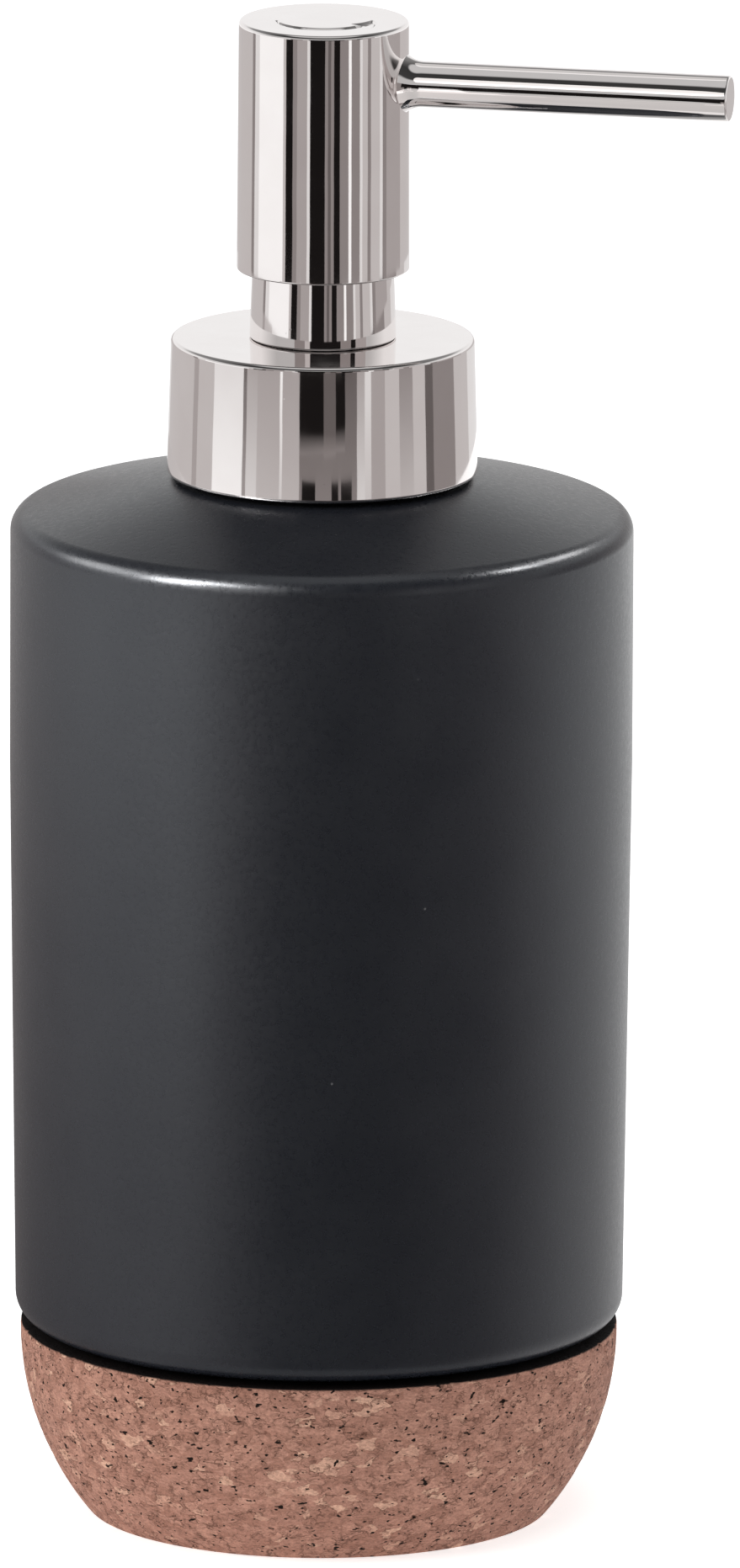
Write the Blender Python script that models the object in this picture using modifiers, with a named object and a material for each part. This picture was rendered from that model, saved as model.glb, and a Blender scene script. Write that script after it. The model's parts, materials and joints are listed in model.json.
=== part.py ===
"""Soap pump dispenser: a stoneware bottle on a cork base, with a chromed lotion pump.

Lengths are metres and +Z is up. The origin is the centre of the cork base's underside,
and the spout points along +X. Heights named ..._Z are above that origin.
"""

import math

import bmesh
import bpy

GAP = 0.0003                    # left between pieces that touch on the real object
SEAL_CLEARANCE = 0.00008        # piston lips to cylinder bore

# Cork base
CORK_HEIGHT = 0.0224
CORK_RIM_RADIUS = 0.03515
CORK_FLOOR_RADIUS = 0.0272
CORK_RECESS_RADIUS = 0.0300
CORK_RECESS_Z = 0.0164
GLUE_THICKNESS = 0.0005

# Stoneware bottle
BODY_BOTTOM_Z = CORK_HEIGHT + 0.0004
BODY_BOTTOM_RADIUS = 0.0357
BODY_WIDEST_Z = 0.0900
BODY_RADIUS = 0.0365
SHOULDER_Z = 0.11735            # where the side ends and the shoulder's rounding starts
SHOULDER_FILLET = 0.0024
SHOULDER_SLOPE = 13.7           # degrees, of the cone above the shoulder
BOTTOM_FILLET = 0.0030
CAVITY_CORNER = 0.0030
MOUTH_Z = 0.12385
MOUTH_RADIUS = 0.0150
MOUTH_LAND_RADIUS = 0.0176
WALL = 0.0050

# Threaded neck and the nut that turns on it
THREAD_PITCH = 0.0042333
THREAD_TURNS = 1.1
THREAD_DEPTH = 0.0009
NECK_THREAD_Z = 0.1290
NECK_THREAD_RADIUS = 0.01295
NUT_THREAD_RADIUS = 0.0142
NECK_RADIUS = 0.0128
NECK_BORE = 0.0108
NECK_TOP_Z = 0.1352
NECK_FLANGE_RADIUS = 0.0164
NECK_FLANGE_THICKNESS = 0.0012
NECK_SLEEVE_LENGTH = 0.0110
NUT_BORE = 0.0146
NUT_RADIUS = 0.0168
NUT_BOTTOM_Z = 0.1257
NUT_WEB = 0.0009
NUT_TUBE_RADIUS = 0.0072
NUT_TUBE_BORE = 0.0066
NUT_TUBE_TOP_Z = 0.1530

# Chrome collar and chimney
COLLAR_BOTTOM_Z = 0.1244
COLLAR_TOP_Z = 0.1405
COLLAR_BOTTOM_RADIUS = 0.0182
COLLAR_TOP_RADIUS = 0.01775
COLLAR_WALL = 0.0006
COLLAR_PLATE = 0.0009
CHIMNEY_TOP_Z = 0.1540
CHIMNEY_FOOT_RADIUS = 0.0086
CHIMNEY_RADIUS = 0.0081

# Pump cylinder, hung from the neck by its flange
FLANGE_RADIUS = 0.0126
FLANGE_BOTTOM_Z = 0.1370
FLANGE_TOP_Z = 0.1380
GASKET_BORE = 0.0094
CYLINDER_RADIUS = 0.0082
CYLINDER_BORE = 0.0072
SPRING_SHELF_Z = 0.1003
BALL_CHAMBER_RADIUS = 0.0034
BALL_SEAT_Z = 0.0923
BALL_SEAT_RADIUS = 0.0015
BALL_RADIUS = 0.00238
SOCKET_TOP_Z = 0.0910
SOCKET_BOTTOM_Z = 0.0820
DIP_TUBE_RADIUS = 0.0024
DIP_TUBE_BORE = 0.0016
DIP_TUBE_END_Z = 0.0270

# Plunger
STEM_RADIUS = 0.0032
STEM_BORE = 0.0020
STEM_FOOT_RADIUS = 0.0026
STEM_FLANGE_RADIUS = 0.0044
STEM_STOP_Z = 0.1272
STEM_TOP_Z = 0.1680
PISTON_TOP_Z = 0.1252
PISTON_BOTTOM_Z = 0.1185
SPRING_RADIUS = 0.0052
SPRING_WIRE = 0.0004
SPRING_TURNS = 5

# Pump head and spout
HEAD_BOTTOM_Z = 0.1487
HEAD_TOP_Z = 0.1783
HEAD_BOTTOM_RADIUS = 0.0101
HEAD_TOP_RADIUS = 0.00995
HEAD_WALL = 0.0008
CORE_BOTTOM_Z = 0.1625
NOZZLE_Z = 0.1712
NOZZLE_RADIUS = 0.0027
NOZZLE_BORE = 0.0021
NOZZLE_TIP_X = 0.0484
NOZZLE_ROOT_X = 0.0043
FLARE_RADIUS = 0.0034
FLARE_TIP_X = 0.0120
OUTLET_RADIUS = 0.0010
OUTLET_X = 0.0454

MATERIALS = {
    # name: (colour, roughness, metallic)
    "cork": ((0.45, 0.22, 0.13), 0.85, 0.0),
    "stoneware": ((0.026, 0.028, 0.033), 0.42, 0.0),
    "chrome": ((0.80, 0.78, 0.76), 0.06, 1.0),
    "black_plastic": ((0.015, 0.015, 0.016), 0.45, 0.0),
    "white_plastic": ((0.78, 0.78, 0.76), 0.40, 0.0),
    "clear_plastic": ((0.72, 0.75, 0.76), 0.25, 0.0),
    "rubber": ((0.30, 0.30, 0.31), 0.65, 0.0),
    "spring_steel": ((0.55, 0.55, 0.56), 0.25, 1.0),
    "adhesive": ((0.80, 0.76, 0.66), 0.50, 0.0),
}


def clear_scene():
    for obj in list(bpy.data.objects):
        bpy.data.objects.remove(obj)


def make_collection(name):
    collection = bpy.data.collections.new(name)
    bpy.context.scene.collection.children.link(collection)
    return collection


def make_material(name):
    colour, roughness, metallic = MATERIALS[name]
    material = bpy.data.materials.new(name)
    material.use_nodes = True
    shader = material.node_tree.nodes["Principled BSDF"]
    shader.inputs["Base Color"].default_value = (*colour, 1.0)
    shader.inputs["Roughness"].default_value = roughness
    shader.inputs["Metallic"].default_value = metallic
    return material


def arc(centre, radius, start, end, steps):
    """Points (r, z) on an arc about centre; the angles are degrees up from +r."""
    points = []
    for step in range(steps + 1):
        angle = math.radians(start + (end - start) * step / steps)
        points.append((centre[0] + radius * math.cos(angle), centre[1] + radius * math.sin(angle)))
    return points


def realise(obj):
    """Turn an object's evaluated shape into its own mesh, welded and shaded smooth."""
    bpy.context.view_layer.update()
    evaluated = obj.evaluated_get(bpy.context.evaluated_depsgraph_get())
    mesh = bpy.data.meshes.new_from_object(evaluated)
    work = bmesh.new()
    work.from_mesh(mesh)
    bmesh.ops.remove_doubles(work, verts=work.verts, dist=0.000001)
    work.to_mesh(mesh)
    work.free()
    mesh.shade_smooth()
    mesh.set_sharp_from_angle(angle=math.radians(35))
    solid = bpy.data.objects.new(obj.name, mesh)
    solid.matrix_world = obj.matrix_world
    name = obj.name
    bpy.data.objects.remove(obj)
    solid.name = name
    return solid


def add_part(obj, material):
    parts.objects.link(obj)
    obj.data.materials.clear()
    obj.data.materials.append(materials[material])
    return obj


def add_cutter(obj):
    helpers.objects.link(obj)
    obj.hide_render = True
    obj.display_type = "WIRE"
    return obj


def turned(name, profile, steps, ring=True):
    """A solid turned about Z from (r, z) points that run down its outer side.

    A ring's profile is a closed loop. Otherwise the profile starts and ends on the axis.
    """
    mesh = bpy.data.meshes.new(name)
    work = bmesh.new()
    corners = [work.verts.new((radius, 0.0, height)) for radius, height in profile]
    for first, second in zip(corners, corners[1:]):
        work.edges.new((first, second))
    if ring:
        work.edges.new((corners[-1], corners[0]))
    work.to_mesh(mesh)
    work.free()
    obj = bpy.data.objects.new(name, mesh)
    bpy.context.scene.collection.objects.link(obj)
    turn = obj.modifiers.new("Turn", "SCREW")
    turn.steps = steps
    turn.render_steps = steps
    turn.use_merge_vertices = True
    turn.merge_threshold = 0.000001
    return realise(obj)


def tube_profile(radius, bore, top, bottom):
    return [(bore, top), (radius, top), (radius, bottom), (bore, bottom)]


def rod(name, radius, start, end, steps=32):
    """A plain cylinder between two heights, for cutting holes."""
    return turned(name, [(0.0, end), (radius, end), (radius, start), (0.0, start)], steps, ring=False)


def lay_along_x(obj, height):
    """Turn a Z-axis shape so that it points along +X at the given height."""
    obj.rotation_euler = (0.0, math.pi / 2, 0.0)
    obj.location = (0.0, 0.0, height)
    return obj


def combine(obj, other, operation):
    """Cut obj with other, or join other to it."""
    add_cutter(other)
    boolean = obj.modifiers.new(other.name, "BOOLEAN")
    boolean.operation = operation
    boolean.object = other


def wire(name, points, radius):
    """A round wire along points, as a closed mesh."""
    curve = bpy.data.curves.new(name, "CURVE")
    curve.dimensions = "3D"
    curve.bevel_depth = radius
    curve.bevel_resolution = 2
    curve.use_fill_caps = True
    spline = curve.splines.new("POLY")
    spline.points.add(len(points) - 1)
    for control, point in zip(spline.points, points):
        control.co = (*point, 1.0)
    obj = bpy.data.objects.new(name, curve)
    bpy.context.scene.collection.objects.link(obj)
    return realise(obj)


def helix(radius, bottom, pitch, turns, points_per_turn=12):
    points = []
    count = round(turns * points_per_turn)
    for index in range(count + 1):
        angle = 2 * math.pi * turns * index / count
        height = bottom + pitch * turns * index / count
        points.append((radius * math.cos(angle), radius * math.sin(angle), height))
    return points


def cork_outline(height):
    """Outer radius of the cork bowl at a height: steep at the rim, tucked in at the floor."""
    share = (1 - (1 - height / CORK_HEIGHT) ** 2.18) ** 0.96
    return CORK_FLOOR_RADIUS + (CORK_RIM_RADIUS - CORK_FLOOR_RADIUS) * share


def make_cork_base():
    steps = 9
    profile = [(CORK_RECESS_RADIUS, CORK_HEIGHT)]
    for step in range(steps + 1):
        height = CORK_HEIGHT * (1 - step / steps) ** 1.7
        profile.append((cork_outline(height), height))
    profile += [(0.0, 0.0)]
    profile = [(0.0, CORK_RECESS_Z), (CORK_RECESS_RADIUS, CORK_RECESS_Z)] + profile
    add_part(turned("cork_base", profile, 48, ring=False), "cork")


def make_glue_disc():
    top = CORK_RECESS_Z + GAP + GLUE_THICKNESS
    radius = CORK_RECESS_RADIUS - 2 * GAP
    add_part(rod("glue_disc", radius, CORK_RECESS_Z + GAP, top, 48), "adhesive")


def make_ceramic_body():
    foot_bottom = CORK_RECESS_Z + GLUE_THICKNESS + 2 * GAP
    foot_radius = CORK_RECESS_RADIUS - GAP
    inner_radius = BODY_RADIUS - WALL
    floor = foot_bottom + WALL
    outside = [(MOUTH_RADIUS, MOUTH_Z), (MOUTH_LAND_RADIUS, MOUTH_Z)]
    fillet_centre = (BODY_RADIUS - SHOULDER_FILLET, SHOULDER_Z)
    outside += arc(fillet_centre, SHOULDER_FILLET, 90 - SHOULDER_SLOPE, 0, 5)
    outside += [(BODY_RADIUS, BODY_WIDEST_Z)]
    bottom_centre = (BODY_BOTTOM_RADIUS - BOTTOM_FILLET, BODY_BOTTOM_Z + BOTTOM_FILLET)
    outside += arc(bottom_centre, BOTTOM_FILLET, 0, -90, 4)
    foot = [(foot_radius, BODY_BOTTOM_Z), (foot_radius, foot_bottom), (0.0, foot_bottom)]
    low_corner = (inner_radius - 2 * CAVITY_CORNER, floor + CAVITY_CORNER)
    high_corner = (inner_radius - CAVITY_CORNER, SHOULDER_Z - WALL - CAVITY_CORNER)
    inside = [(0.0, floor)]
    inside += arc(low_corner, CAVITY_CORNER, -90, -30, 2)
    inside += [(inner_radius, floor + 2.5 * CAVITY_CORNER)]
    inside += arc(high_corner, CAVITY_CORNER, 0, 70, 3)
    inside += [(MOUTH_RADIUS, MOUTH_Z - WALL - GAP)]
    add_part(turned("ceramic_body", inside + outside + foot, 48, ring=False), "stoneware")


def make_neck_insert():
    flange_bottom = MOUTH_Z + GAP
    flange_top = flange_bottom + NECK_FLANGE_THICKNESS
    sleeve_radius = MOUTH_RADIUS - GAP
    sleeve_bottom = flange_bottom - NECK_SLEEVE_LENGTH
    profile = [
        (NECK_BORE, NECK_TOP_Z),
        (NECK_RADIUS, NECK_TOP_Z),
        (NECK_RADIUS, flange_top),
        (NECK_FLANGE_RADIUS, flange_top),
        (NECK_FLANGE_RADIUS, flange_bottom),
        (sleeve_radius, flange_bottom),
        (sleeve_radius, sleeve_bottom),
        (NECK_BORE, sleeve_bottom),
    ]
    insert = add_part(turned("neck_insert", profile, 40), "black_plastic")
    ridge = helix(NECK_THREAD_RADIUS, NECK_THREAD_Z, THREAD_PITCH, THREAD_TURNS)
    combine(insert, wire("neck_thread", ridge, THREAD_DEPTH), "UNION")


def make_neck_gasket():
    top = FLANGE_BOTTOM_Z - GAP
    profile = tube_profile(FLANGE_RADIUS, GASKET_BORE, top, NECK_TOP_Z + GAP)
    add_part(turned("neck_gasket", profile, 32), "rubber")


def make_closure_nut():
    web_bottom = FLANGE_TOP_Z + GAP
    web_top = web_bottom + NUT_WEB
    profile = [
        (NUT_TUBE_BORE, NUT_TUBE_TOP_Z),
        (NUT_TUBE_RADIUS, NUT_TUBE_TOP_Z),
        (NUT_TUBE_RADIUS, web_top),
        (NUT_RADIUS, web_top),
        (NUT_RADIUS, NUT_BOTTOM_Z),
        (NUT_BORE, NUT_BOTTOM_Z),
        (NUT_BORE, web_bottom),
        (NUT_TUBE_BORE, web_bottom),
    ]
    nut = add_part(turned("closure_nut", profile, 40), "black_plastic")
    ridge_bottom = NECK_THREAD_Z - THREAD_PITCH / 2
    ridge = helix(NUT_THREAD_RADIUS, ridge_bottom, THREAD_PITCH, THREAD_TURNS)
    combine(nut, wire("nut_thread", ridge, THREAD_DEPTH), "UNION")


def make_collar_shell():
    edge = 0.0005
    plate_bottom = COLLAR_TOP_Z - COLLAR_PLATE
    hole = CHIMNEY_FOOT_RADIUS + GAP
    profile = [(hole, COLLAR_TOP_Z)]
    profile += arc((COLLAR_TOP_RADIUS - edge, COLLAR_TOP_Z - edge), edge, 90, 0, 3)
    profile += [
        (COLLAR_BOTTOM_RADIUS, COLLAR_BOTTOM_Z),
        (COLLAR_BOTTOM_RADIUS - COLLAR_WALL, COLLAR_BOTTOM_Z),
        (COLLAR_TOP_RADIUS - COLLAR_WALL, plate_bottom),
        (hole, plate_bottom),
    ]
    add_part(turned("collar_shell", profile, 48), "chrome")


def make_chimney_sleeve():
    bore = NUT_TUBE_RADIUS + GAP
    bottom = FLANGE_TOP_Z + NUT_WEB + 2 * GAP
    edge = 0.0002
    profile = [(bore, CHIMNEY_TOP_Z), (CHIMNEY_RADIUS - edge, CHIMNEY_TOP_Z)]
    profile += [(CHIMNEY_RADIUS, CHIMNEY_TOP_Z - edge), (CHIMNEY_RADIUS, HEAD_BOTTOM_Z)]
    profile += [(CHIMNEY_FOOT_RADIUS, COLLAR_TOP_Z), (CHIMNEY_FOOT_RADIUS, bottom), (bore, bottom)]
    add_part(turned("chimney_sleeve", profile, 40), "chrome")


def make_pump_housing():
    chamber_radius = 0.0046
    socket_radius = 0.0039
    seat_top = BALL_SEAT_Z + BALL_CHAMBER_RADIUS - BALL_SEAT_RADIUS
    profile = [
        (CYLINDER_BORE, FLANGE_TOP_Z),
        (FLANGE_RADIUS, FLANGE_TOP_Z),
        (FLANGE_RADIUS, FLANGE_BOTTOM_Z),
        (CYLINDER_RADIUS, FLANGE_BOTTOM_Z),
        (CYLINDER_RADIUS, SPRING_SHELF_Z - 0.0012),
        (chamber_radius, SPRING_SHELF_Z - 0.0042),
        (chamber_radius, SOCKET_TOP_Z),
        (socket_radius, SOCKET_TOP_Z - 0.0010),
        (socket_radius, SOCKET_BOTTOM_Z),
        (DIP_TUBE_RADIUS + GAP, SOCKET_BOTTOM_Z),
        (DIP_TUBE_RADIUS + GAP, SOCKET_TOP_Z),
        (BALL_SEAT_RADIUS, SOCKET_TOP_Z),
        (BALL_SEAT_RADIUS, BALL_SEAT_Z),
        (BALL_CHAMBER_RADIUS, seat_top),
        (BALL_CHAMBER_RADIUS, SPRING_SHELF_Z),
        (CYLINDER_BORE, SPRING_SHELF_Z),
    ]
    housing = add_part(turned("pump_housing", profile, 32), "clear_plastic")
    vent = lay_along_x(rod("housing_vent", 0.0006, 0.0050, 0.0100, 12), STEM_STOP_Z - 0.0012)
    combine(housing, vent, "DIFFERENCE")


def make_stem_guide():
    stem_hole = STEM_RADIUS + 0.00025
    bottom = STEM_STOP_Z + GAP
    top = NUT_TUBE_TOP_Z - 0.0010
    lip = 0.0015
    barrel = CYLINDER_BORE - GAP
    neck = NUT_TUBE_BORE - GAP
    hollow = 0.0050
    profile = [(stem_hole, top), (neck, top), (neck, FLANGE_TOP_Z), (barrel, FLANGE_TOP_Z)]
    profile += [(barrel, bottom), (stem_hole, bottom), (stem_hole, bottom + lip)]
    profile += [(hollow, bottom + lip), (hollow, top - lip), (stem_hole, top - lip)]
    add_part(turned("stem_guide", profile, 28), "white_plastic")


def make_ball_retainer():
    bottom = SPRING_SHELF_Z + GAP
    profile = tube_profile(CYLINDER_BORE - GAP, 0.0019, bottom + 0.0008, bottom)
    add_part(turned("ball_retainer", profile, 24), "white_plastic")


def make_inlet_ball():
    """The ball hangs a gap above its cone seat, measured square to the cone."""
    height = BALL_SEAT_Z - BALL_SEAT_RADIUS + (BALL_RADIUS + GAP) * math.sqrt(2)
    mesh = bpy.data.meshes.new("inlet_ball")
    work = bmesh.new()
    bmesh.ops.create_uvsphere(work, u_segments=14, v_segments=9, radius=BALL_RADIUS)
    work.to_mesh(mesh)
    work.free()
    mesh.shade_smooth()
    ball = bpy.data.objects.new("inlet_ball", mesh)
    ball.location = (0.0, 0.0, height)
    add_part(ball, "spring_steel")


def make_dip_tube():
    profile = tube_profile(DIP_TUBE_RADIUS, DIP_TUBE_BORE, SOCKET_TOP_Z - GAP, DIP_TUBE_END_Z)
    tube = add_part(turned("dip_tube", profile, 16), "clear_plastic")
    slant = box("dip_tube_slant", (0.02, 0.02, 0.01))
    slant.rotation_euler = (0.0, math.radians(40), 0.0)
    slant.location = (0.0, 0.0, DIP_TUBE_END_Z - 0.0040)
    combine(tube, slant, "DIFFERENCE")


def box(name, size):
    mesh = bpy.data.meshes.new(name)
    work = bmesh.new()
    bmesh.ops.create_cube(work, size=1.0)
    bmesh.ops.scale(work, vec=size, verts=work.verts)
    work.to_mesh(mesh)
    work.free()
    return bpy.data.objects.new(name, mesh)


def make_return_spring():
    bottom = SPRING_SHELF_Z + 0.0008 + 2 * GAP + SPRING_WIRE
    top = PISTON_BOTTOM_Z - GAP - 0.0013 - GAP - SPRING_WIRE
    pitch = (top - bottom) / SPRING_TURNS
    coil = helix(SPRING_RADIUS, bottom, pitch, SPRING_TURNS)
    add_part(wire("return_spring", coil, SPRING_WIRE), "spring_steel")


def make_piston_seal():
    hub_bore = STEM_FOOT_RADIUS + GAP
    hub = hub_bore + 0.0013
    lip = CYLINDER_BORE - SEAL_CLEARANCE
    lip_back = lip - 0.0009
    middle = (PISTON_TOP_Z + PISTON_BOTTOM_Z) / 2
    half_web = 0.0006
    relief = 0.0003
    profile = [
        (hub_bore, PISTON_TOP_Z),
        (hub, PISTON_TOP_Z),
        (hub, middle + half_web),
        (lip_back, middle + half_web),
        (lip_back + relief, PISTON_TOP_Z - GAP),
        (lip, PISTON_TOP_Z - GAP),
        (lip - relief, middle),
        (lip, PISTON_BOTTOM_Z + GAP),
        (lip_back + relief, PISTON_BOTTOM_Z + GAP),
        (lip_back, middle - half_web),
        (hub, middle - half_web),
        (hub, PISTON_BOTTOM_Z),
        (hub_bore, PISTON_BOTTOM_Z),
    ]
    add_part(turned("piston_seal", profile, 32), "rubber")


def make_piston_rod():
    disc_top = PISTON_BOTTOM_Z - GAP
    disc_bottom = disc_top - 0.0013
    disc_radius = SPRING_RADIUS + 0.0007
    shaft = STEM_BORE - GAP
    shaft_top = PISTON_TOP_Z - 0.0012
    profile = [(0.0, shaft_top), (shaft, shaft_top), (shaft, disc_top), (disc_radius, disc_top)]
    profile += [(disc_radius, disc_bottom), (0.0, disc_bottom)]
    add_part(turned("piston_rod", profile, 20, ring=False), "white_plastic")


def make_stem_tube():
    flange_bottom = PISTON_TOP_Z + GAP
    profile = [
        (STEM_BORE, STEM_TOP_Z),
        (STEM_RADIUS, STEM_TOP_Z),
        (STEM_RADIUS, STEM_STOP_Z),
        (STEM_FLANGE_RADIUS, STEM_STOP_Z),
        (STEM_FLANGE_RADIUS, flange_bottom),
        (STEM_FOOT_RADIUS, flange_bottom),
        (STEM_FOOT_RADIUS, PISTON_BOTTOM_Z),
        (STEM_BORE, PISTON_BOTTOM_Z),
    ]
    stem = add_part(turned("stem_tube", profile, 24), "white_plastic")
    port_height = (PISTON_TOP_Z + PISTON_BOTTOM_Z) / 2
    port = lay_along_x(rod("stem_port", 0.0006, -0.0040, 0.0040, 12), port_height)
    combine(stem, port, "DIFFERENCE")


def make_actuator_core():
    radius = HEAD_TOP_RADIUS - HEAD_WALL - GAP
    top = HEAD_TOP_Z - 0.0010 - GAP
    hub = 0.0050
    rim = radius - 0.0012
    web = CORE_BOTTOM_Z + 0.0050
    socket = STEM_RADIUS + GAP
    socket_top = STEM_TOP_Z + GAP
    channel = STEM_BORE - 0.0005
    profile = [(0.0, top), (radius, top), (radius, CORE_BOTTOM_Z), (rim, CORE_BOTTOM_Z), (rim, web)]
    profile += [(hub, web), (hub, CORE_BOTTOM_Z), (socket, CORE_BOTTOM_Z), (socket, socket_top)]
    profile += [(channel, socket_top), (channel, NOZZLE_Z), (0.0, NOZZLE_Z)]
    core = add_part(turned("actuator_core", profile, 32, ring=False), "white_plastic")
    nozzle_socket = rod("nozzle_socket", NOZZLE_RADIUS + GAP, NOZZLE_ROOT_X - GAP, 0.0200, 24)
    combine(core, lay_along_x(nozzle_socket, NOZZLE_Z), "DIFFERENCE")
    soap_channel = rod("soap_channel", channel, 0.0, NOZZLE_ROOT_X, 16)
    combine(core, lay_along_x(soap_channel, NOZZLE_Z), "DIFFERENCE")


def make_head_shell():
    edge = 0.00045
    plate_bottom = HEAD_TOP_Z - 0.0010
    inner = HEAD_TOP_RADIUS - HEAD_WALL
    profile = [(0.0, HEAD_TOP_Z)]
    profile += arc((HEAD_TOP_RADIUS - edge, HEAD_TOP_Z - edge), edge, 90, 0, 3)
    profile += [(HEAD_BOTTOM_RADIUS, HEAD_BOTTOM_Z), (inner, HEAD_BOTTOM_Z)]
    profile += [(inner, plate_bottom), (0.0, plate_bottom)]
    shell = add_part(turned("head_shell", profile, 48, ring=False), "chrome")
    hole = rod("nozzle_hole", NOZZLE_RADIUS + GAP, 0.0050, 0.0200, 24)
    combine(shell, lay_along_x(hole, NOZZLE_Z), "DIFFERENCE")


def make_flare():
    """The trumpet at the spout's root, about its own Z axis and cut to fit the round head."""
    bore = NOZZLE_RADIUS - 0.0003
    root = HEAD_TOP_RADIUS - 0.0012
    reach = FLARE_TIP_X - HEAD_TOP_RADIUS
    steps = 4
    profile = [(bore, FLARE_TIP_X)]
    for step in range(steps + 1):
        share = step / steps
        radius = NOZZLE_RADIUS + (FLARE_RADIUS - NOZZLE_RADIUS) * share ** 2.2
        profile.append((radius, FLARE_TIP_X - reach * share))
    profile += [(FLARE_RADIUS, root), (bore, root)]
    flare = lay_along_x(turned("flare", profile, 24), NOZZLE_Z)
    seat = rod("flare_seat", HEAD_TOP_RADIUS + GAP, NOZZLE_Z - 0.0100, NOZZLE_Z + 0.0100, 48)
    combine(flare, seat, "DIFFERENCE")
    return flare


def make_nozzle_tube():
    end_wall = 0.0010
    edge = 0.0002
    profile = [(0.0, NOZZLE_TIP_X), (NOZZLE_RADIUS - edge, NOZZLE_TIP_X)]
    profile += [(NOZZLE_RADIUS, NOZZLE_TIP_X - edge), (NOZZLE_RADIUS, NOZZLE_ROOT_X)]
    profile += [(NOZZLE_BORE, NOZZLE_ROOT_X), (NOZZLE_BORE, NOZZLE_TIP_X - end_wall)]
    profile += [(0.0, NOZZLE_TIP_X - end_wall)]
    tube = add_part(turned("nozzle_tube", profile, 24, ring=False), "chrome")
    lay_along_x(tube, NOZZLE_Z)
    combine(tube, make_flare(), "UNION")
    outlet = rod("outlet", OUTLET_RADIUS, NOZZLE_Z - 0.0040, NOZZLE_Z, 16)
    outlet.location.x = OUTLET_X
    combine(tube, outlet, "DIFFERENCE")


def make_nozzle_liner():
    profile = tube_profile(NOZZLE_BORE - GAP, 0.0012, OUTLET_X - 0.0016, NOZZLE_ROOT_X)
    liner = add_part(turned("nozzle_liner", profile, 16), "white_plastic")
    lay_along_x(liner, NOZZLE_Z)


clear_scene()
parts = make_collection("soap_pump_dispenser")
helpers = make_collection("cutters")
materials = {name: make_material(name) for name in MATERIALS}

make_cork_base()
make_glue_disc()
make_ceramic_body()
make_neck_insert()
make_neck_gasket()
make_pump_housing()
make_stem_guide()
make_ball_retainer()
make_inlet_ball()
make_dip_tube()
make_closure_nut()
make_collar_shell()
make_chimney_sleeve()
make_return_spring()
make_piston_seal()
make_piston_rod()
make_stem_tube()
make_actuator_core()
make_head_shell()
make_nozzle_tube()
make_nozzle_liner()
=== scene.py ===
"""Looks of the soap pump dispenser: fine meshes, materials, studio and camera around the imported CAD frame.

Lengths are metres in the CAD's frame: +Z up, the cork's underside at zero, the spout along +X.
The camera's azimuth is in degrees from the -Y side towards +X. The studio's azimuths are counted from
the camera's, with those on its left negative.
"""

import json
import math

import bmesh
import bpy
from mathutils import Matrix, Vector, noise


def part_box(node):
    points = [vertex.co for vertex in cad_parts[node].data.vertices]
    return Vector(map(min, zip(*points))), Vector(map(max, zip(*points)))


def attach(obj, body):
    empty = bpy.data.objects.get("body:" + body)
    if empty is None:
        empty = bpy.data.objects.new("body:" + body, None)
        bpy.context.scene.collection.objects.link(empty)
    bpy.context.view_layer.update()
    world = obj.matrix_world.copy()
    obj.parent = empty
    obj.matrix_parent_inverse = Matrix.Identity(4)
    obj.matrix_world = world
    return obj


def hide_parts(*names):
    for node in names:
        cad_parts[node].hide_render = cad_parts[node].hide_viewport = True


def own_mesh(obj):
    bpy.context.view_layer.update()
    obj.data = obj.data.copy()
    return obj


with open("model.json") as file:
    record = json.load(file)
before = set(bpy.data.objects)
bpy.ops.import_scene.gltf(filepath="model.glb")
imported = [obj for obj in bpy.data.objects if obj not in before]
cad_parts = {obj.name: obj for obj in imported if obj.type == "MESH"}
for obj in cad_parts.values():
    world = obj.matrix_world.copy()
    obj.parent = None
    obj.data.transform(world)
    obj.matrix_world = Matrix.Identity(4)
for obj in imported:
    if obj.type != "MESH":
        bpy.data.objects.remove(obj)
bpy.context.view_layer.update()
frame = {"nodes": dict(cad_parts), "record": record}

ROUND = 192                     # segments of the turned chrome pieces
GUARD = 0.00004                 # from a fillet's arc to the point that guards it
SMOOTH_ANGLE = 35               # degrees between faces, above which an edge stays sharp
GAP = 0.0003                    # the CAD's gap between pieces that touch

# Cork and stoneware, as in the CAD
CORK_TUCK = 0.00795             # how much narrower the cork's floor is than its rim
CORK_EDGE = 0.0004              # width of the rim's bevel
BODY_GAP = 0.0004               # between the cork's rim and the bottle
BODY_TAPER = 0.0008             # how much narrower the bottle's foot is than its widest place
BODY_WIDEST_Z = 0.0900
MOUTH_LAND = 0.0176
MOUTH_BORE = 0.0150
CERAMIC_WALL = 0.0050
SHOULDER_SLOPE = 13.7

# Neck
NECK_BORE = 0.0108
NECK_BARREL = 0.0128
NECK_SLEEVE = 0.0147
NECK_FLANGE_THICKNESS = 0.0012
THREAD_PITCH = 0.0042333
THREAD_TURNS = 1.1
THREAD_RADIUS = 0.0009          # of the ridge's round section
THREAD_RISE = 0.0037            # from the neck's flange to the thread's start

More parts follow.
